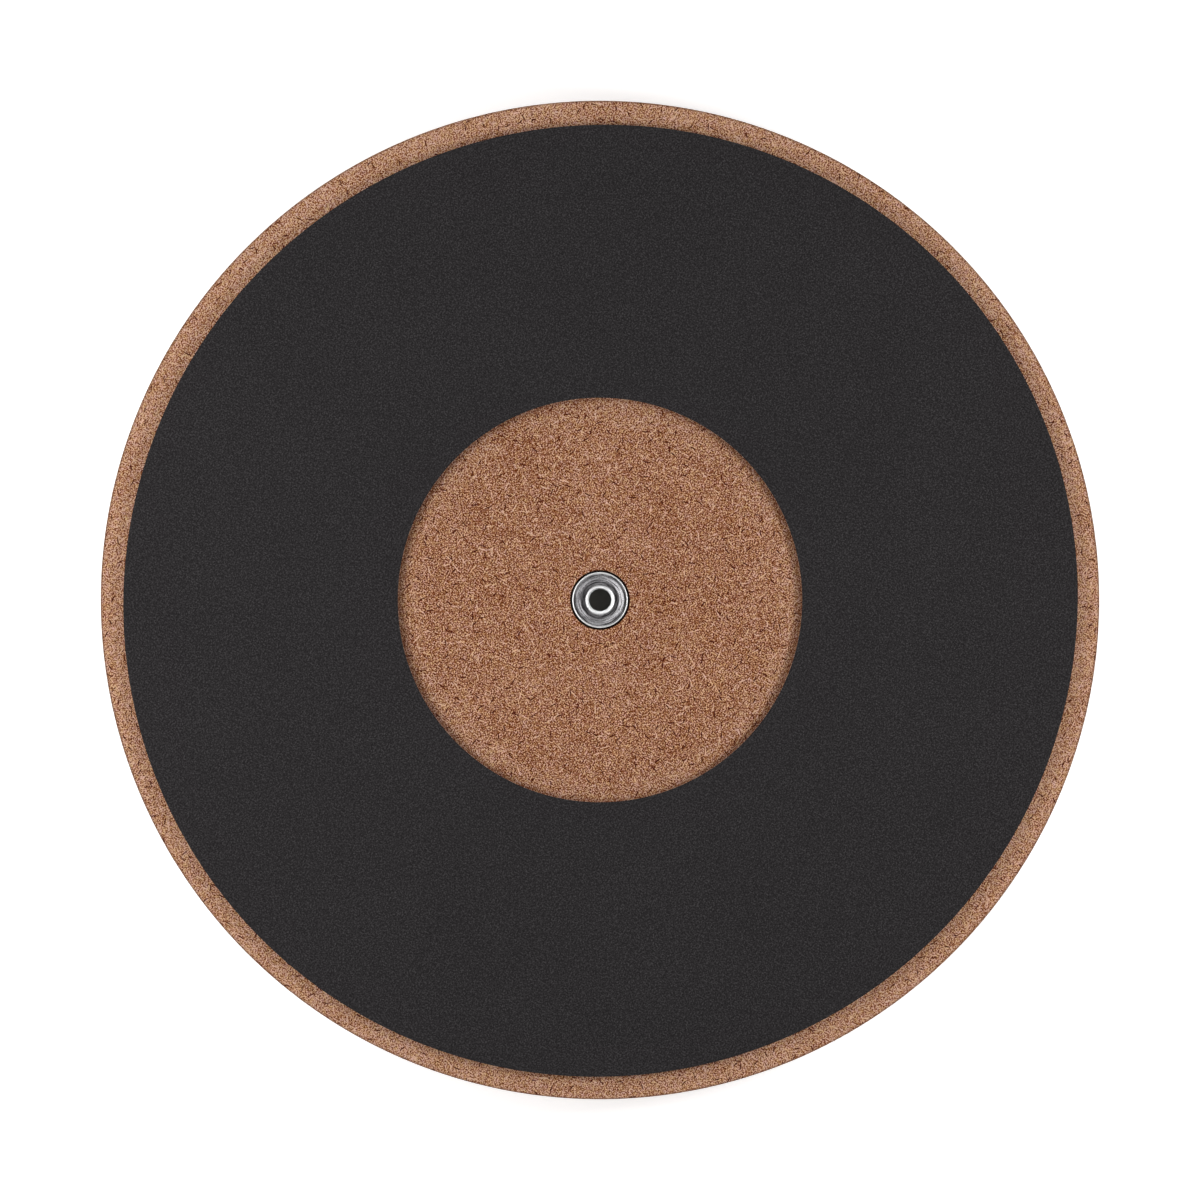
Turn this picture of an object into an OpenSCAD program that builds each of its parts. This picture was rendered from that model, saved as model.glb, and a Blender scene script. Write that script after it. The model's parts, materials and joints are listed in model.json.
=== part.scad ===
// Drum practice pad, lying on its playing face with its underside up.
// A fibreboard disc carries a rubber playing pad below. Above, it carries a foam ring that
// stops it slipping on a table, and a flanged M8 insert that screws onto a cymbal stand.
// The origin is the centre of the playing face, and +Z points out of the underside.

/* [Board] */
// Diameter of the fibreboard disc
board_d = 305; // [200:1:400]
// Thickness of the fibreboard disc
board_t = 15; // [12.5:0.5:25]
// Radius that the disc's two rims are eased to
board_edge_r = 0.6; // [0.2:0.1:2]

/* [Foam ring] */
// Width of bare board left outside the ring
ring_inset = 7.2; // [2:0.1:20]
// Diameter of the ring's hole
ring_hole_d = 123.4; // [40:0.1:150]
// Thickness of the foam
ring_t = 3; // [2:0.5:8]
// Radius of the foam's upper edges
ring_edge_r = 0.3; // [0.1:0.1:0.6]

/* [Playing pad] */
// Width of bare board left outside the rubber
pad_inset = 5; // [1:0.5:15]
// Thickness of the rubber
pad_t = 6; // [3:0.5:12]
// Radius of the rim around the playing face
pad_edge_r = 2; // [0.5:0.5:2.5]

/* [Adhesive films] */
// Thickness of each film
film_t = 0.2; // [0.1:0.05:0.5]
// How far the pad's film stops short of the rubber's edge
pad_film_inset = 1.5; // [0:0.5:5]

/* [Threaded insert] */
// Diameter of the bore, which is the thread's tapping size
bore_d = 6.8; // [5:0.1:8.2]
// Outer diameter of the barrel
barrel_d = 9.8; // [8.2:0.1:14]
// Length of the barrel below the flange
barrel_l = 11; // [7:0.5:11]
// Diameter of the flange
flange_d = 17.2; // [14.2:0.1:24]
// Thickness of the flange at its rim
flange_t = 1.2; // [1:0.1:2]
// How far the flange stands proud of the board
flange_proud = 0.2; // [0:0.1:0.8]
// Radius of the flange's upper rim
flange_edge_r = 0.5; // [0.1:0.1:0.8]
// Width of the raised land, from the flange's rim in
land_w = 1.2; // [0.8:0.1:1.4]
// Depth of the seat below the land
dish_depth = 0.4; // [0.1:0.1:0.6]
// Width of the flat seat around the thread's mouth
seat_w = 1.2; // [0.5:0.1:1.4]
// Width of the 45 degree chamfer at the thread's mouth
mouth_chamfer = 1.1; // [0.3:0.1:1.2]
// Number of barbs around the barrel
barb_count = 3; // [1:1:4]
// Height of each barb along the barrel
barb_h = 1.4; // [0.8:0.1:1.6]
// How far each barb bites into the board
barb_bite = 0.3; // [0.1:0.1:0.5]
// Number of fins that stop the insert turning
fin_count = 6; // [3:1:12]
// Thickness of each fin
fin_t = 0.8; // [0.4:0.1:1.5]
// Height of each fin below the flange
fin_h = 2.5; // [1:0.5:3]
// How far each fin bites into the board
fin_bite = 1; // [0.5:0.1:1.5]

/* [Fits] */
// Radial gap between the flange and its counterbore
flange_gap = 0.4; // [0.1:0.1:1]
// Radial gap between the barrel and its hole
barrel_gap = 0.1; // [0.05:0.05:0.3]

/* [Hidden] */
$fn = 180;
EPS = 0.01;
ARC_STEPS = 5;

// Heights of the stack, from the playing face up.
board_z = pad_t + film_t;
board_top_z = board_z + board_t;
ring_z = board_top_z + film_t;

// The rubber and the foam are each smaller than the board by their inset.
pad_d = board_d - 2 * pad_inset;
ring_d = board_d - 2 * ring_inset;

// The counterbore holds the flange, and the hole holds the barrel.
counterbore_depth = flange_t - flange_proud;
counterbore_d = flange_d + 2 * flange_gap;
hole_d = barrel_d + 2 * barrel_gap;
flange_z = board_top_z - counterbore_depth;

// The insert's seat is a plane around the mouth of its thread, above the flange's underside.
seat_z = flange_t - dish_depth;
mouth_r = bore_d / 2 + mouth_chamfer;

// Points of an arc about c, from angle a0 to a1.
function arc(c, r, a0, a1) =
    [for (i = [0:ARC_STEPS]) let (a = a0 + (a1 - a0) * i / ARC_STEPS) c + r * [cos(a), sin(a)]];

// Disc from z = 0 to t with its lower rim rounded, and its upper rim too unless high_r is 0.
module rounded_disc(d, t, low_r, high_r = 0) {
    r = d / 2;
    low = arc([r - low_r, low_r], low_r, -90, 0);
    high = high_r > 0 ? arc([r - high_r, t - high_r], high_r, 0, 90) : [[r, t]];
    rotate_extrude() polygon(concat([[0, 0]], low, high, [[0, t]]));
}

// Flat ring from z = 0 to t with its two upper rims rounded.
module rounded_ring(d, hole, t, edge_r) {
    outer = arc([d / 2 - edge_r, t - edge_r], edge_r, 0, 90);
    inner = arc([hole / 2 + edge_r, t - edge_r], edge_r, 90, 180);
    rotate_extrude() polygon(concat([[hole / 2, 0], [d / 2, 0]], outer, inner));
}

// Fibreboard disc, bored through for the insert, whose barbs and fins have cut their own way in.
module base_board() {
    color("peru")
    difference() {
        translate([0, 0, board_z]) rounded_disc(board_d, board_t, board_edge_r, board_edge_r);
        translate([0, 0, board_z - EPS]) cylinder(d = hole_d, h = board_t + 2 * EPS);
        translate([0, 0, flange_z]) {
            cylinder(d = counterbore_d, h = counterbore_depth + EPS);
            insert_barbs();
            insert_fins();
        }
    }
}

// Foam ring, stuck to the board's underside.
module foam_ring() {
    color("dimgray")
    translate([0, 0, ring_z])
    rounded_ring(ring_d, ring_hole_d, ring_t, ring_edge_r);
}

// Adhesive film under the foam, cut in one stroke with it.
module ring_adhesive() {
    color("wheat")
    translate([0, 0, board_top_z])
    difference() {
        cylinder(d = ring_d, h = film_t);
        translate([0, 0, -EPS]) cylinder(d = ring_hole_d, h = film_t + 2 * EPS);
    }
}

// Rubber disc whose lower face is the playing face.
module playing_pad() {
    color("gray")
    rounded_disc(pad_d, pad_t, pad_edge_r);
}

// Adhesive film between the rubber and the board.
module pad_adhesive() {
    color("wheat")
    translate([0, 0, pad_t])
    cylinder(d = pad_d - 2 * pad_film_inset, h = film_t);
}

// Flange with a raised land and a dished seat, its underside at z = 0.
module insert_flange() {
    r = flange_d / 2;
    rim = arc([r - flange_edge_r, flange_t - flange_edge_r], flange_edge_r, 0, 90);
    dish = [[r - land_w, flange_t], [mouth_r + seat_w, seat_z], [0, seat_z]];
    rotate_extrude() polygon(concat([[0, 0], [r, 0]], rim, dish));
}

// Barbs at the barrel's tip. Each tapers towards the tip, so that it slides in and won't pull out.
module insert_barbs() {
    for (i = [0:barb_count - 1])
        translate([0, 0, i * barb_h - barrel_l])
        cylinder(r1 = barrel_d / 2, r2 = hole_d / 2 + barb_bite, h = barb_h);
}

// Upright fins under the flange.
module insert_fins() {
    for (i = [0:fin_count - 1])
        rotate([0, 0, i * 360 / fin_count])
        translate([0, -fin_t / 2, -fin_h])
        cube([hole_d / 2 + fin_bite, fin_t, fin_h + EPS]);
}

// Flanged insert knocked into the board, with its thread's bore right through it.
module threaded_insert() {
    color("silver")
    translate([0, 0, flange_z])
    difference() {
        union() {
            insert_flange();
            translate([0, 0, -barrel_l]) cylinder(d = barrel_d, h = barrel_l + EPS);
            insert_barbs();
            insert_fins();
        }
        translate([0, 0, -barrel_l - EPS]) cylinder(d = bore_d, h = barrel_l + flange_t + 2 * EPS);
        translate([0, 0, seat_z - mouth_chamfer])
            cylinder(r1 = bore_d / 2, r2 = mouth_r + EPS, h = mouth_chamfer + EPS);
    }
}

base_board();
foam_ring();
ring_adhesive();
playing_pad();
pad_adhesive();
threaded_insert();
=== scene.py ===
import json
from math import cos, floor, pi, radians, sin

import bpy
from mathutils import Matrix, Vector, noise


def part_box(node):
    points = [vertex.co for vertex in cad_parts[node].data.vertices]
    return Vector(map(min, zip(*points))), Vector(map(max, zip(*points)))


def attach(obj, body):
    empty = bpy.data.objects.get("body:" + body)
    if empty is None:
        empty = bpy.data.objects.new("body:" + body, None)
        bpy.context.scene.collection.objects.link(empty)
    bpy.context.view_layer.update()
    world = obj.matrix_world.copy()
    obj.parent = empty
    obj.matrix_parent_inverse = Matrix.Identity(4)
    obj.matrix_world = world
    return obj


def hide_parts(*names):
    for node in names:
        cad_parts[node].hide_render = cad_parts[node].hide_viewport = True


# The looks of a drum practice pad that lies on its playing face, underside up.
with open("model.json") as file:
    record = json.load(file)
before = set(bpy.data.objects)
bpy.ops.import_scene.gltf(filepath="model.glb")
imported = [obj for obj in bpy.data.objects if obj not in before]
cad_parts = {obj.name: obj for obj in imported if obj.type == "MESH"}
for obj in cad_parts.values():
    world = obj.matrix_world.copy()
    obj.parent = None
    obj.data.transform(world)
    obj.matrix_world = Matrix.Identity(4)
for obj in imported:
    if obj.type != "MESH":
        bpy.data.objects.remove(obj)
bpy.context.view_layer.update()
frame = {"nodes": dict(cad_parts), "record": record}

MM = 0.001
# Two radii closer than this are the same point of a profile.
SAME = 1e-9


# ---------------------------------------------------------------- sizes that pieces share

def radius(node):
    """Outer radius of a round CAD node."""
    low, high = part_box(node)
    return (high.x - low.x) / 2


BOARD_LOW, BOARD_HIGH = (corner.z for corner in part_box("base_board"))
BOARD_R = radius("base_board")

RING_LOW, RING_HIGH = (corner.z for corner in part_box("foam_ring"))
RING_R = radius("foam_ring")
RING_HOLE_R = 61.7 * MM

PAD_LOW, PAD_HIGH = (corner.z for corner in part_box("playing_pad"))
PAD_R = radius("playing_pad")

THREAD = next(m for m in frame["record"]["mounts"] if m["name"] == "stand_thread")
BORE_R = THREAD["dims"]["r_mm"] * MM
BORE_HIGH = THREAD["pos_m"][2]
INSERT_LOW, INSERT_HIGH = (corner.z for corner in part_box("threaded_insert"))
FLANGE_R = radius("threaded_insert")
FLANGE_LOW = INSERT_HIGH - 1.2 * MM
COUNTERBORE_R = FLANGE_R + 0.4 * MM
HOLE_R = 5 * MM
BARREL_R = 4.9 * MM
BARB_R, BARB_H, BARBS = 5.3 * MM, 1.4 * MM, 3
FIN_R, FIN_HALF, FINS = 6 * MM, 0.4 * MM, 6
FIN_LOW = FLANGE_LOW - 2.5 * MM
# Width of the narrow facets between the insert's surfaces.
FINE = 0.06 * MM
# The bore's rolled mouth ends at MOUTH_R, and the flat seat around it at SEAT_R.
MOUTH_ROLL = 1.2 * MM
MOUTH_R = BORE_R + MOUTH_ROLL
SEAT_R = MOUTH_R + 1.2 * MM


# ---------------------------------------------------------------- mesh helpers

def arc(centre, r, start, end, steps):
    """Points of an arc in the (radius, height) plane, from one angle in degrees to another."""
    angles = [radians(start + (end - start) * i / steps) for i in range(steps + 1)]
    return [(centre[0] + r * cos(a), centre[1] + r * sin(a)) for a in angles]


def spread(a, b, steps):
    """Evenly spread points from a to b, both included."""
    return [tuple(a[k] + (b[k] - a[k]) * i / steps for k in range(2)) for i in range(steps + 1)]


def turned(name, profile, segments, shift=None, sharp=35):
    """A closed mesh turned from a profile of (radius, height) points, given anticlockwise.
    shift(radius, height, angle) gives a point its own radius and height. A radius of 0 is a pole."""
    points, rings = [], []
    for r, z in profile:
        ring = []
        for i in range(segments if r > 0 else 1):
            angle = 2 * pi * i / segments
            own_r, own_z = shift(r, z, angle) if shift else (r, z)
            ring.append(len(points))
            points.append((own_r * cos(angle), own_r * sin(angle), own_z))
        rings.append(ring)
    faces = []
    for a, b in zip(rings, rings[1:] + rings[:1]):
        if len(a) == len(b) == 1:
            continue
        for i in range(segments):
            j = (i + 1) % segments
            corners = [a[i % len(a)], a[j % len(a)], b[j % len(b)], b[i % len(b)]]
            faces.append(list(dict.fromkeys(corners)))
    mesh = bpy.data.meshes.new(name)
    mesh.from_pydata(points, [], faces)
    mesh.polygons.foreach_set("use_smooth", [True] * len(mesh.polygons))
    mesh.set_sharp_from_angle(angle=radians(sharp))
    mesh.validate()
    piece = bpy.data.objects.new(name, mesh)
    bpy.context.scene.collection.objects.link(piece)
    return piece


def waviness(r, z, angle, size, seed=0.0):
    """Smooth noise from -1 to 1 at a point on a turned piece, with features of about that size."""
    return noise.noise(Vector((r * cos(angle), r * sin(angle), z + seed)) / size)


def in_fin(angle, half):
    """Whether a direction lies within a fin of that half width, measured at the fin's tip."""
    across = (angle + pi / FINS) % (2 * pi / FINS) - pi / FINS
    return abs(sin(across)) * FIN_R < half


# ---------------------------------------------------------------- pieces

def make_board():
    """Fibreboard disc with eased rims, a slightly fuzzy sawn side and a counterbored hole."""
    edge = 0.6 * MM
    lip = 0.15 * MM
    margin = 0.4 * MM
    middle_r = 100 * MM
    profile = [(HOLE_R, BOARD_LOW), (HOLE_R + margin, BOARD_LOW)]
    profile += spread((middle_r, BOARD_LOW), (BOARD_R - edge - margin, BOARD_LOW), 3)
    profile += arc((BOARD_R - edge, BOARD_LOW + edge), edge, -90, 0, 6)
    profile += spread((BOARD_R, BOARD_LOW + edge), (BOARD_R, BOARD_HIGH - edge), 16)[1:-1]
    profile += arc((BOARD_R - edge, BOARD_HIGH - edge), edge, 0, 90, 6)
    profile += spread((BOARD_R - edge - margin, BOARD_HIGH), (RING_R, BOARD_HIGH), 3)
    profile += spread((RING_HOLE_R, BOARD_HIGH), (COUNTERBORE_R + lip + margin, BOARD_HIGH), 4)
    profile += arc((COUNTERBORE_R + lip, BOARD_HIGH - lip), lip, 90, 180, 4)

    # The insert's fins and barbs have cut their own room in the hole's wall.
    room = 0.02 * MM
    slot_half = FIN_HALF + 6 * room
    slot_r = FIN_R + 5 * room
    slot_mark_r = HOLE_R + room
    profile += [(COUNTERBORE_R, FLANGE_LOW), (slot_mark_r, FLANGE_LOW)]
    profile += [(slot_mark_r, FIN_LOW - room), (HOLE_R, FIN_LOW - room)]
    flank = (BARB_H - 2 * FINE) / (BARB_R - BARREL_R)
    for i in reversed(range(BARBS)):
        low = INSERT_LOW + i * BARB_H
        high = low + BARB_H + FINE + room
        bites_from = low + FINE + flank * (HOLE_R - BARREL_R - room)
        profile += [(HOLE_R, high), (BARB_R + room, high)]
        profile += [(BARB_R + room, low + BARB_H - FINE), (HOLE_R, bites_from)]

    def cut(r, z, angle):
        """Cuts the fins' slots and roughens the sawn side. The flat faces stay flat."""
        if abs(r - slot_mark_r) < SAME and in_fin(angle, slot_half):
            return slot_r, z
        near_side = max(0.0, 1 - (BOARD_R - r) / (1.5 * edge))
        fuzz = waviness(r, z, angle, size=1.3 * MM) * 0.04 * MM
        fuzz += waviness(r, z * 3, angle, size=4 * MM, seed=7) * 0.03 * MM
        return r - near_side * abs(fuzz), z

    return turned("fibreboard_disc", profile, segments=1440, shift=cut)


def ring_outline(r, angle):
    """The foam was laid by hand, so its outer edge is a touch oval and off centre."""
    share = (r - RING_HOLE_R) / (RING_R - RING_HOLE_R)
    oval, oval_towards = 0.73 * MM, radians(37.5)
    aside, aside_towards = 0.28 * MM, radians(-53)
    further = oval * cos(2 * (angle - oval_towards)) + aside * cos(angle - aside_towards)
    return r + max(share, 0.0) * further


def make_foam():
    """Die-cut foam ring. The cutter draws its outer edge down to a rounded shoulder."""
    shoulder = 0.8 * MM
    edge = 0.3 * MM
    margin = 0.5 * MM
    uneven = 0.06 * MM
    top_out = RING_R - shoulder - margin
    top_in = RING_HOLE_R + edge + margin
    profile = spread((RING_HOLE_R, RING_LOW), (RING_R, RING_LOW), 8)
    profile += arc((RING_R - shoulder, RING_HIGH - shoulder), shoulder, 0, 90, 8)
    profile += spread((top_out, RING_HIGH), (top_in, RING_HIGH), 14)
    profile += arc((RING_HOLE_R + edge, RING_HIGH - edge), edge, 90, 180, 5)
    profile += spread((RING_HOLE_R, RING_HIGH - edge), (RING_HOLE_R, RING_LOW), 4)[1:-1]

    def lie(r, z, angle):
        """Follows the outline, and lets the top lie a little low in places."""
        height = (z - RING_LOW) / (RING_HIGH - RING_LOW)
        sink = uneven * (0.5 + 0.5 * waviness(r, 0, angle, size=22 * MM))
        return ring_outline(r, angle), z - height * sink

    return turned("foam_ring_cut", profile, segments=1080, shift=lie)


def make_ring_film():
    """Adhesive film under the foam, cut with it."""
    low, high = (corner.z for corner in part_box("ring_adhesive"))
    profile = spread((RING_HOLE_R, low), (RING_R, low), 4)
    profile += spread((RING_R, high), (RING_HOLE_R, high), 4)

    def lie(r, z, angle):
        """Follows the foam's outline."""
        return ring_outline(r, angle), z

    return turned("foam_adhesive_film", profile, segments=1080, shift=lie)


def make_pad():
    """Rubber disc with a rounded rim around its playing face and a sharp edge against the board."""
    edge = 2 * MM
    trim = 0.25 * MM
    margin = 0.5 * MM
    inner_r = 30 * MM
    profile = [(0, PAD_LOW)] + spread((inner_r, PAD_LOW), (PAD_R - edge - margin, PAD_LOW), 6)
    profile += arc((PAD_R - edge, PAD_LOW + edge), edge, -90, 0, 12)
    profile += spread((PAD_R, PAD_LOW + edge), (PAD_R, PAD_HIGH - trim), 6)[1:-1]
    profile += arc((PAD_R - trim, PAD_HIGH - trim), trim, 0, 90, 4)
    profile += [(PAD_R - trim - margin, PAD_HIGH), (0, PAD_HIGH)]
    return turned("rubber_playing_pad", profile, segments=720)


THREAD_PITCH = 1.25 * MM
THREAD_DEPTH = 0.6 * MM


def thread_depth(z, angle):
    """Depth of a right-hand M8 thread's groove below its bore at a height and angle."""
    root, crest = 0.125, 0.75
    turns = z / THREAD_PITCH - angle / (2 * pi)
    from_root = abs(2 * (turns - floor(turns)) - 1)
    return THREAD_DEPTH * min(1.0, max(0.0, (crest - from_root) / (crest - root)))


def make_insert():
    """Flanged insert: an M8 thread with a rolled mouth, a dished flange, barbs and fins."""
    seat_high = FLANGE_LOW + 0.8 * MM
    rim = 0.5 * MM
    dip = 0.02 * MM
    lead = 0.3 * MM
    land_r = FLANGE_R - 1.2 * MM
    fin_mark_r = BARREL_R + FINE

    profile = [(BORE_R + lead, INSERT_LOW), (BARREL_R - FINE, INSERT_LOW)]
    for i in range(BARBS):
        low = INSERT_LOW + i * BARB_H
        profile += [(BARREL_R, low + FINE), (BARB_R, low + BARB_H - FINE), (BARB_R, low + BARB_H)]
    profile += [(BARREL_R, INSERT_LOW + BARBS * BARB_H)]
    profile += [(BARREL_R, FIN_LOW), (fin_mark_r, FIN_LOW), (fin_mark_r, FLANGE_LOW)]
    profile += [(FIN_R + FINE, FLANGE_LOW)]
    profile += [(FLANGE_R - FINE, FLANGE_LOW), (FLANGE_R, FLANGE_LOW + FINE)]
    profile += arc((FLANGE_R - rim, INSERT_HIGH - rim), rim, 0, 90, 10)
    profile += spread((FLANGE_R - rim - 0.05 * MM, INSERT_HIGH), (land_r + FINE, INSERT_HIGH), 3)
    profile += spread((land_r - FINE, INSERT_HIGH - dip), (SEAT_R + FINE, seat_high + dip), 8)
    profile += spread((SEAT_R - FINE, seat_high), (MOUTH_R + FINE, seat_high), 4)
    profile += arc((MOUTH_R, seat_high - MOUTH_ROLL), MOUTH_ROLL, 90, 180, 16)
    thread_step = 0.08 * MM
    bore_steps = int((BORE_HIGH - INSERT_LOW) / thread_step)
    profile += spread((BORE_R, BORE_HIGH), (BORE_R, INSERT_LOW + lead), bore_steps)[1:]

    def cut(r, z, angle):
        """Cuts the thread into the bore's wall, and raises the fins."""
        if r < BORE_R + THREAD_DEPTH and z > INSERT_LOW + lead / 2:
            return max(r, BORE_R + thread_depth(z, angle)), z
        if abs(r - fin_mark_r) < SAME and in_fin(angle, FIN_HALF):
            return FIN_R, z
        return r, z

    return turned("flanged_insert", profile, segments=360, shift=cut, sharp=28)


# ---------------------------------------------------------------- colours and nodes

# Radiance of a white card lying on the board. Colours read as screen values are divided by it.
CARD = 1.1


def linear(value):
    """A screen value from 0 to 255 as linear light."""
    value /= 255
    return value / 12.92 if value <= 0.04045 else ((value + 0.055) / 1.055) ** 2.4


def screen(red, green, blue):
    """The surface colour that shows as this screen colour in the scene's light."""
    return tuple(linear(max(c, 4)) / CARD for c in (red, green, blue)) + (1.0,)


class Nodes:
    """Builds one material's nodes. Each call gives a socket to pass on to the next."""

    def __init__(self, name):
        self.material = bpy.data.materials.new(name)
        self.material.use_nodes = True
        self.tree = self.material.node_tree
        self.shader = self.tree.nodes["Principled BSDF"]

    def set(self, **values):
        """Sets or links the shader's own sockets."""
        for name, value in values.items():
            self.plug(self.shader.inputs[name.replace("_", " ")], value)

    def plug(self, socket, value):
        """Links a socket to another, or gives it a constant."""
        if isinstance(value, bpy.types.NodeSocket):
            self.tree.links.new(value, socket)
        else:
            socket.default_value = value

    def add(self, kind, inputs=(), output=0, **settings):
        """Adds a node. inputs are (name or number, value) pairs."""
        made = self.tree.nodes.new("ShaderNode" + kind)
        for name, value in settings.items():
            setattr(made, name, value)
        for name, value in inputs:
            self.plug(made.inputs[name], value)
        return made.outputs[output]

    def math(self, operation, *values):
        return self.add("Math", enumerate(values), operation=operation)

    def vector(self, operation, *values):
        return self.add("VectorMath", enumerate(values), operation=operation)

    def place(self):
        """The point on the surface, in the model's frame, in metres."""
        return self.add("TexCoord", output="Object")

    def split(self, vector):
        made = self.tree.nodes.new("ShaderNodeSeparateXYZ")
        self.plug(made.inputs[0], vector)
        return made.outputs

    def join(self, x, y, z):
        return self.add("CombineXYZ", enumerate((x, y, z)))

    def from_axis(self, x, y):
        """Distance from the pad's axis."""
        squares = self.math("ADD", self.math("MULTIPLY", x, x), self.math("MULTIPLY", y, y))
        return self.math("SQRT", squares)

    def noise(self, point, size, detail=0.0, rough=0.5):
        inputs = (("Vector", point), ("Scale", 1 / size), ("Detail", detail), ("Roughness", rough))
        return self.add("TexNoise", inputs)

    def upright(self):
        """1 where the surface stands upright, and 0 where it faces up or down."""
        normal = self.split(self.add("NewGeometry", output="Normal"))
        return self.between(self.math("ABSOLUTE", normal[2]), 0.95, 0.6)

    def grain(self, point, size):
        """Fine even grain, worked out flat on the flat faces and in depth on upright ones."""
        # Turned aside, so that the noise's own grid doesn't run along the frame's axes.
        turn = 0.5
        inputs = (("Vector", point), ("Angle", turn))
        askew = self.add("VectorRotate", inputs, rotation_type="Z_AXIS")
        inputs = (("Vector", askew), ("Scale", 1 / size), ("Detail", 2.0), ("Roughness", 0.5))
        on_face = self.add("TexNoise", inputs, noise_dimensions="2D")
        in_depth = self.noise(point, size, detail=2)
        inputs = (("Value", self.upright()), ("To Min", on_face), ("To Max", in_depth))
        return self.add("MapRange", inputs)

    def between(self, value, low, high, to_low=0.0, to_high=1.0):
        """Eases from to_low at low to to_high at high. low may be the larger one."""
        inputs = enumerate((value, low, high, to_low, to_high))
        return self.add("MapRange", inputs, interpolation_type="SMOOTHSTEP")

    def stack(self, start, *layers):
        """Adds layers of (socket, its middle, weight) to a start value."""
        value = start
        for layer, middle, weight in layers:
            value = self.math("MULTIPLY_ADD", self.math("SUBTRACT", layer, middle), weight, value)
        return value

    def mix(self, share, a, b):
        made = self.tree.nodes.new("ShaderNodeMix")
        made.data_type = "RGBA"
        for socket, value in zip((made.inputs[0], made.inputs[6], made.inputs[7]), (share, a, b)):
            self.plug(socket, value)
        return made.outputs[2]

    def ramp(self, value, stops):
        """Colours at stops of (place, colour) from 0 to 1."""
        made = self.tree.nodes.new("ShaderNodeValToRGB")
        self.plug(made.inputs[0], value)
        elements = made.color_ramp.elements
        while len(elements) < len(stops):
            elements.new(1.0)
        for element, (place, colour) in zip(elements, stops):
            element.position = place
            element.color = colour
        return made.outputs[0]

    def bump(self, height, distance, strength):
        inputs = (("Strength", strength), ("Distance", distance), ("Height", height))
        return self.add("Bump", inputs)

    def strands(self, point, cell, length, width, seed, share):
        """Short bent fibres at random angles, in a share of the cells.
        Gives 1 along a fibre's middle, down to 0 off it."""
        moved = self.vector("ADD", point, (seed * 0.137, seed * 0.071, seed * 0.053))
        made = self.tree.nodes.new("ShaderNodeTexVoronoi")
        self.plug(made.inputs["Vector"], moved)
        self.plug(made.inputs["Scale"], 1 / cell)
        random = self.split(made.outputs["Color"])
        offset = self.vector("SUBTRACT", moved, made.outputs["Position"])
        angle = self.math("MULTIPLY", random[0], 2 * pi)
        inputs = (("Vector", offset), ("Angle", angle))
        along, across, _ = self.split(self.add("VectorRotate", inputs, rotation_type="Z_AXIS"))
        along = self.math("DIVIDE", along, length / 2)
        along_squared = self.math("MULTIPLY", along, along)
        most_bent = 1.6 * width
        bent = self.math("MULTIPLY", self.math("SUBTRACT", random[1], 0.5), most_bent)
        across = self.math("MULTIPLY_ADD", along_squared, bent, across)
        across = self.math("DIVIDE", across, width / 2)
        # 0 at the fibre's middle, and 1 on its outline.
        far = self.math("ADD", along_squared, self.math("MULTIPLY", across, across))
        fibre = self.between(far, 1.0, 0.25)
        return self.math("MULTIPLY", fibre, self.math("LESS_THAN", random[2], share))


# ---------------------------------------------------------------- materials

def felt(n, place):
    """A felt of short fibres that lie flat in seven directions. Centred on 0.5."""
    directions = 7
    length, width, height = 1.8 * MM, 0.34 * MM, 0.30 * MM
    value = 0.5
    for i in range(directions):
        # Each layer takes its noise from another place.
        moved = n.vector("ADD", place, (0.31 * i, 0.17 * i, 0.0))
        inputs = (("Vector", moved), ("Angle", radians(180 / directions * i)))
        along = n.add("VectorRotate", inputs, rotation_type="Z_AXIS")
        stretched = n.vector("DIVIDE", along, (length, width, height))
        inputs = (("Vector", stretched), ("Scale", 1.0), ("Detail", 0.0), ("Distortion", 0.25))
        layer = n.math("SUBTRACT", n.add("TexNoise", inputs), 0.5)
        # Squared with its sign kept, so that a few fibres of each layer stand out.
        squared = n.math("MULTIPLY", layer, n.math("ABSOLUTE", layer))
        value = n.math("MULTIPLY_ADD", squared, 1.3, value)
    return value


def wood_stops():
    """Stops for the wood's shades, from dark to pale. They change faster towards both ends."""
    mean = (141, 92, 61)
    deviation = (24, 28, 30)
    stops = []
    for k in (-2.5, -1.5, -0.75, 0.75, 1.5, 2.5):
        away = k * (0.62 + 0.2 * abs(k))
        stops.append((0.5 + 0.17 * k, screen(*(m + away * d for m, d in zip(mean, deviation)))))
    return stops


def marks_and_painted_shade(n, colour, from_axis):
    """Adds the cutters' mark on the board's rim, and painted shade in the counterbore and along the
    foam's inner edge.
    """
    # The cutters leave the rim darker.
    burnt = n.between(from_axis, BOARD_R - 0.9 * MM, BOARD_R - 0.2 * MM, 0.0, 0.5)
    colour = n.mix(burnt, colour, screen(64, 40, 28))
    # Painted shade: the counterbore's narrow gap around the flange is painted near black.
    painted_gap_shade = n.between(from_axis, COUNTERBORE_R + 0.3 * MM, COUNTERBORE_R)
    colour = n.mix(painted_gap_shade, colour, screen(30, 22, 18))
    # Painted shade: a narrow band along the foam's inner edge is painted darker, where the foam's
    # wall shades the board.
    painted_wall_shade = n.between(from_axis, RING_HOLE_R - 2.0 * MM, RING_HOLE_R, 0.0, 0.4)
    painted_wall_shade = n.math("MULTIPLY", painted_wall_shade, n.math("LESS_THAN", from_axis, RING_HOLE_R + 1 * MM))
    return n.mix(painted_wall_shade, colour, screen(88, 50, 38))


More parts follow.
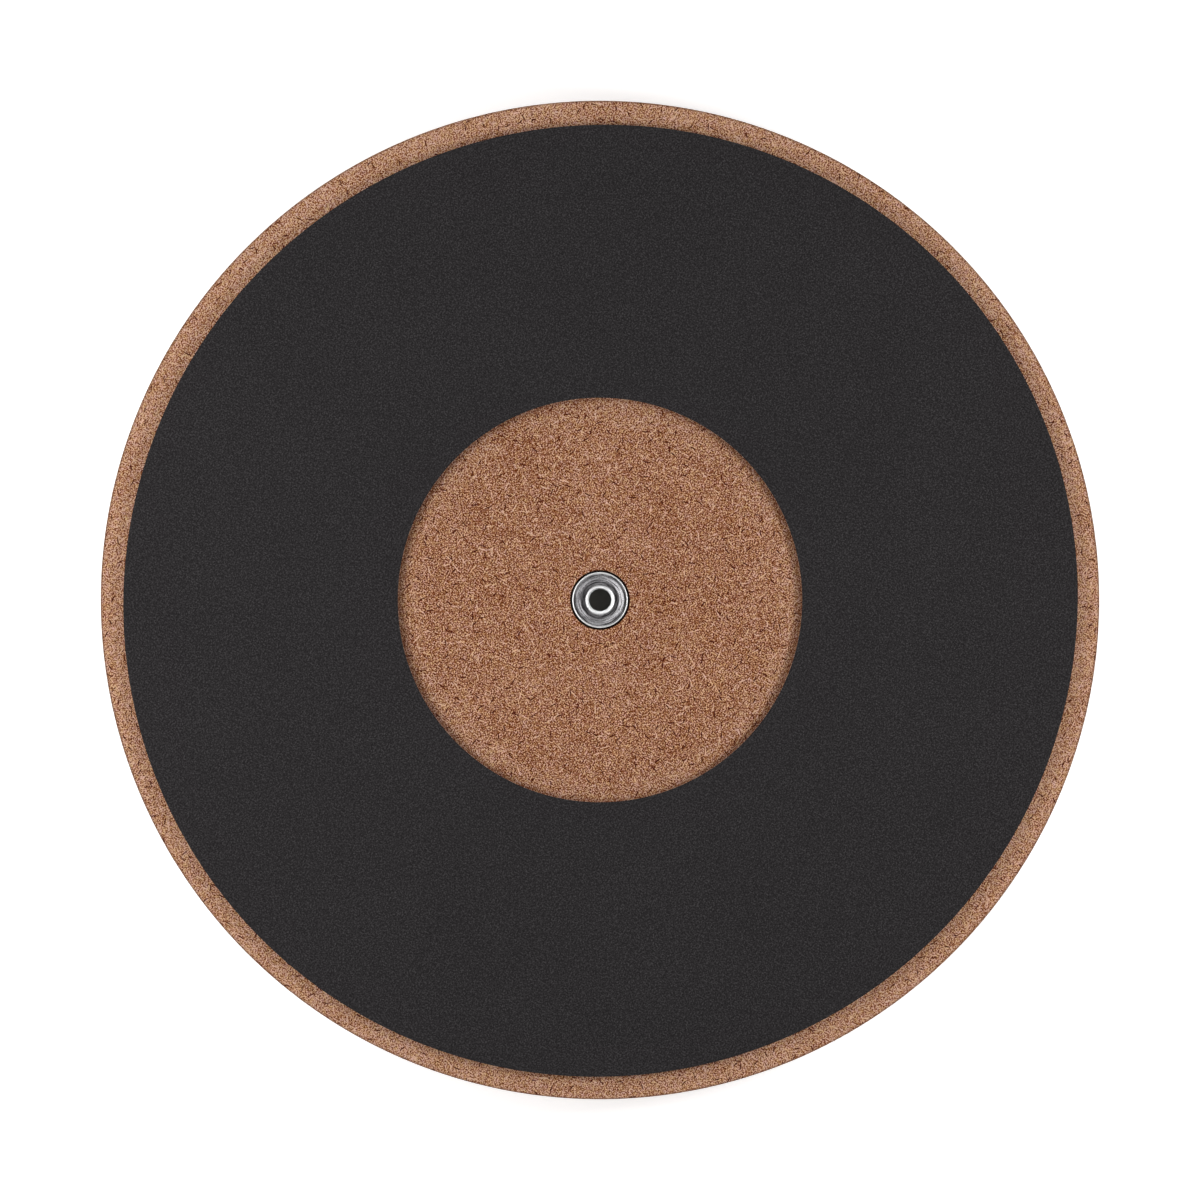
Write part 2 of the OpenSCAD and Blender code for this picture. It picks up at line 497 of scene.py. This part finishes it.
def fibreboard():
    """Raw pressed fibreboard: a felt of fine flat fibres, with sparse long pale and dark ones."""
    n = Nodes("fibreboard")
    place = n.place()
    felted = felt(n, place)
    x, y, z = n.split(place)
    from_axis = n.from_axis(x, y)
    flat = n.vector("MULTIPLY", place, (1, 1, 2))
    grain = n.grain(flat, 0.41 * MM)
    clumps = n.noise(flat, 2.2 * MM, detail=1)
    broad = n.noise(place, 14 * MM, detail=2)
    pale_fibre = {"cell": 4.2 * MM, "length": 3.4 * MM, "width": 0.42 * MM}
    dark_fibre = {"cell": 4.0 * MM, "length": 2.6 * MM, "width": 0.46 * MM}
    long_pale = n.strands(flat, **pale_fibre, seed=5, share=0.6)
    long_dark = n.strands(flat, **dark_fibre, seed=6, share=0.48)
    # Whole fibres show on the pressed faces only. The sawn side shows layers, paler at the core.
    upright = n.upright()
    on_face = n.math("SUBTRACT", 1.0, upright)
    long_pale = n.math("MULTIPLY", long_pale, on_face)
    long_dark = n.math("MULTIPLY", long_dark, on_face)
    layers = n.noise(n.vector("MULTIPLY", place, (0.15, 0.15, 1)), 0.7 * MM, detail=2)
    layers = n.math("MULTIPLY", n.math("SUBTRACT", layers, 0.5), upright)
    from_core = n.math("ABSOLUTE", n.math("SUBTRACT", z, (BOARD_LOW + BOARD_HIGH) / 2))
    core = n.math("MULTIPLY", n.between(from_core, 6.0 * MM, 2.5 * MM), upright)
    # Painted light: the board is made paler outside the foam, and close to it inside.
    painted_rim_light = n.between(from_axis, RING_R - 3 * MM, RING_R + 1 * MM)
    painted_inner_light = n.between(from_axis, RING_HOLE_R - 10 * MM, RING_HOLE_R - 4 * MM)
    value = n.stack(
        felted,
        (grain, 0.5, 3.1),
        (clumps, 0.5, 0.10),
        (broad, 0.5, 0.22),
        (long_pale, 0.0, 0.62),
        (long_dark, 0.0, -0.80),
        (painted_rim_light, 0.0, 0.08),
        (painted_inner_light, 0.0, 0.09),
        (layers, 0.0, 0.5),
        (core, 0.0, 0.05),
    )
    colour = n.ramp(value, wood_stops())
    # The wood's own colour wanders between tan and reddish, and some fibres are nearly black.
    tan_share = n.noise(flat, 1.0 * MM, detail=1)
    red_share = n.noise(n.vector("ADD", flat, (0.2, 0.4, 0.1)), 2.0 * MM, detail=1)
    tint_red = n.math("MULTIPLY_ADD", red_share, 0.14, 0.93)
    tint_blue = n.math("MULTIPLY_ADD", tan_share, 0.9, 0.55)
    colour = n.vector("MULTIPLY", colour, n.join(tint_red, 1.0, tint_blue))
    colour = n.mix(n.math("MULTIPLY", long_dark, 0.3), colour, screen(44, 34, 36))
    colour = marks_and_painted_shade(n, colour, from_axis)
    n.set(Base_Color=colour, Roughness=0.95, Specular_IOR_Level=0.05)
    n.set(Normal=n.bump(value, distance=0.05 * MM, strength=0.35))
    return n.material


def foam():
    """Closed-cell foam: matt and almost black, with a fine grey speckle."""
    n = Nodes("black_foam")
    place = n.place()
    cells = n.grain(place, 0.44 * MM)
    crumbs = n.noise(n.vector("ADD", place, (0.3, 0.1, 0.2)), 0.50 * MM, detail=1)
    broad = n.noise(place, 30 * MM, detail=2)
    value = n.stack(0.5, (cells, 0.5, 2.1), (crumbs, 0.5, 1.4), (broad, 0.5, 0.12))
    shades = ((0.0, 30), (0.25, 34), (0.5, 41), (0.75, 49), (1.0, 62))
    colour = n.ramp(value, [(at, screen(level, level - 2, level - 1)) for at, level in shades])
    height = n.math("ADD", cells, crumbs)
    n.set(Base_Color=colour, Roughness=0.95, Specular_IOR_Level=0.08)
    n.set(Normal=n.bump(height, distance=0.06 * MM, strength=0.5))
    return n.material


def rubber():
    """Grey gum rubber: fine grain, faint blooms, and roughness that varies with them."""
    n = Nodes("grey_rubber")
    place = n.place()
    grain = n.noise(place, 0.5 * MM, detail=2, rough=0.6)
    bloom = n.noise(place, 18 * MM, detail=3)
    value = n.stack(bloom, (grain, 0.5, 0.5))
    stops = [(0.2, screen(82, 84, 87)), (0.5, screen(96, 98, 101)), (0.8, screen(110, 112, 114))]
    rough = n.between(bloom, 0.3, 0.7, 0.55, 0.7)
    n.set(Base_Color=n.ramp(value, stops), Roughness=rough, Specular_IOR_Level=0.4)
    n.set(Normal=n.bump(grain, distance=0.05 * MM, strength=0.5))
    return n.material


def adhesive():
    """Adhesive film: milky white and a little uneven."""
    n = Nodes("adhesive_film")
    cloud = n.noise(n.place(), 4 * MM, detail=2)
    colour = n.ramp(cloud, [(0.3, screen(222, 218, 208)), (0.7, screen(238, 234, 224))])
    n.set(Base_Color=colour, Roughness=0.45)
    n.set(Normal=n.bump(cloud, distance=0.05 * MM, strength=0.4))
    return n.material


def steel():
    """Zinc-plated steel, turned on a lathe: rings around the axis, a painted dark reflection on the
    seat, and painted highlights on the edges.
    """
    n = Nodes("zinc_plated_steel")
    place = n.place()
    x, y, z = n.split(place)
    from_axis = n.from_axis(x, y)
    rings = n.noise(n.join(from_axis, 0.0, 0.0), 0.30 * MM, detail=1)
    # The way round the axis is a small circle in the noise, so that the streaks close up.
    outward = n.vector("NORMALIZE", n.join(x, y, 0.0))
    around = n.vector("MULTIPLY", outward, (0.6 * MM, 0.6 * MM, 0.0))
    streaks = n.vector("ADD", around, n.join(0.0, 0.0, n.math("ADD", from_axis, z)))
    streaks = n.noise(streaks, 0.34 * MM, detail=1)
    frost = n.noise(place, 0.35 * MM, detail=1)
    tone = n.stack(0.5, (rings, 0.5, 0.40), (streaks, 0.5, 0.45), (frost, 0.5, 0.35))
    zinc = n.ramp(tone, [(0.41, (0.34, 0.32, 0.335, 1)), (0.59, (0.86, 0.85, 0.87, 1))])
    # Painted dark reflection: the flat seat around the mouth is painted dark, where it mirrors the
    # dark sky overhead.
    painted_dark_seat = n.between(from_axis, MOUTH_R - 0.05 * MM, MOUTH_R + 0.25 * MM)
    painted_dark_seat_end = n.between(from_axis, SEAT_R + 0.05 * MM, SEAT_R - 0.25 * MM, 0.0, 0.5)
    zinc = n.mix(n.math("MULTIPLY", painted_dark_seat, painted_dark_seat_end), zinc, (0.10, 0.085, 0.095, 1))
    # Painted highlight: the mouth of the bore and the rim of the flange are painted pale, and made a
    # little rougher.
    mouth = n.between(from_axis, MOUTH_R + 0.05 * MM, MOUTH_R - 0.3 * MM)
    rim = n.between(from_axis, FLANGE_R - 0.65 * MM, FLANGE_R - 0.45 * MM)
    rim_end = n.between(from_axis, FLANGE_R - 0.05 * MM, FLANGE_R - 0.20 * MM)
    bright = n.math("MAXIMUM", mouth, n.math("MULTIPLY", rim, rim_end))
    colour = n.mix(bright, zinc, (0.80, 0.80, 0.80, 1))
    rough = n.between(streaks, 0.3, 0.7, 0.22, 0.34)
    rough = n.math("MULTIPLY_ADD", bright, 0.15, rough)
    tangent = n.add("Tangent", direction_type="RADIAL", axis="Z")
    n.set(Base_Color=colour, Metallic=1.0, Roughness=rough, Anisotropic=0.5, Tangent=tangent)
    n.set(Normal=n.bump(tone, distance=0.012 * MM, strength=0.6))
    return n.material


# ---------------------------------------------------------------- the pad

def finish_piece(piece, material, slot, *nodes):
    """Gives a piece its material and its place on the rigid body, in place of CAD nodes."""
    piece.data.materials.clear()
    piece.data.materials.append(material)
    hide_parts(*nodes)
    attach(piece, "root")
    return piece


adhesive_film = adhesive()
finish_piece(make_board(), fibreboard(), "fibreboard", "base_board")
foam_ring = finish_piece(make_foam(), foam(), "black_foam", "foam_ring")
finish_piece(make_ring_film(), adhesive_film, "adhesive_film", "ring_adhesive")
finish_piece(make_pad(), rubber(), "grey_rubber", "playing_pad")
finish_piece(make_insert(), steel(), "zinc_plated_steel", "threaded_insert")
# The film between the board and the rubber keeps its CAD shape.
for slot in frame["nodes"]["pad_adhesive"].material_slots:
    slot.material = adhesive_film


# ---------------------------------------------------------------- studio

def make_floor():
    """Pale floor that glows a little, as a light table does."""
    half = 20.0
    n = Nodes("studio_floor")
    grain = n.noise(n.place(), 0.4, detail=2)
    colour = n.ramp(grain, [(0.3, (0.88, 0.88, 0.88, 1)), (0.7, (0.91, 0.91, 0.91, 1))])
    n.set(Base_Color=colour, Roughness=0.9, Emission_Color=(1, 1, 1, 1), Emission_Strength=0.42)
    corners = [(-half, -half, 0), (half, -half, 0), (half, half, 0), (-half, half, 0)]
    mesh = bpy.data.meshes.new("studio_floor")
    mesh.from_pydata(corners, [], [(0, 1, 2, 3)])
    mesh.materials.append(n.material)
    floor_piece = bpy.data.objects.new("studio_floor", mesh)
    bpy.context.scene.collection.objects.link(floor_piece)


def softbox(name, place, width, height, radiance):
    """A rectangular light that faces the pad's centre and isn't seen by the camera."""
    light = bpy.data.lights.new(name, "AREA")
    light.shape = "RECTANGLE"
    light.size = width
    light.size_y = height
    light.energy = radiance * pi * width * height
    lamp = bpy.data.objects.new(name, light)
    lamp.location = place
    towards = Vector((0, 0, BOARD_HIGH)) - Vector(place)
    lamp.rotation_euler = towards.to_track_quat("-Z", "Y").to_euler()
    lamp.visible_camera = False
    bpy.context.scene.collection.objects.link(lamp)


def make_sky():
    """A white surround, bright at the horizon and dark overhead, so the softboxes do the work."""
    world = bpy.data.worlds.new("studio")
    world.use_nodes = True
    tree = world.node_tree
    direction = tree.nodes.new("ShaderNodeTexCoord").outputs["Generated"]
    height = tree.nodes.new("ShaderNodeSeparateXYZ")
    tree.links.new(direction, height.inputs[0])
    glow = tree.nodes.new("ShaderNodeMapRange")
    tree.links.new(height.outputs["Z"], glow.inputs["Value"])
    for name, value in (("From Min", 0.3), ("From Max", 1.0), ("To Min", 1.0), ("To Max", 0.03)):
        glow.inputs[name].default_value = value
    background = tree.nodes["Background"]
    background.inputs["Color"].default_value = (1, 1, 1, 1)
    tree.links.new(glow.outputs[0], background.inputs["Strength"])
    bpy.context.scene.world = world


def make_camera():
    """Looks straight down, with 366.3 mm of the board's face across the frame."""
    lens = 150.0
    sensor = 36.0
    across = 0.3663
    data = bpy.data.cameras.new("camera")
    data.lens = lens
    data.sensor_width = sensor
    data.clip_end = 100
    camera = bpy.data.objects.new("camera", data)
    camera.location = (0, 0, BOARD_HIGH + across * lens / sensor)
    bpy.context.scene.collection.objects.link(camera)
    bpy.context.scene.camera = camera


make_floor()
softbox("left_softbox", (-0.29, 0, 0.321), width=0.36, height=0.17, radiance=5.1)
softbox("right_softbox", (0.329, 0, 0.338), width=0.124, height=0.099, radiance=22.0)
softbox("back_softbox", (0, 0.40, 0.183), width=0.49, height=0.29, radiance=0.75)
softbox("front_softbox", (0, -0.40, 0.183), width=0.49, height=0.29, radiance=0.65)
make_sky()
make_camera()
bpy.context.scene.view_settings.view_transform = "Standard"
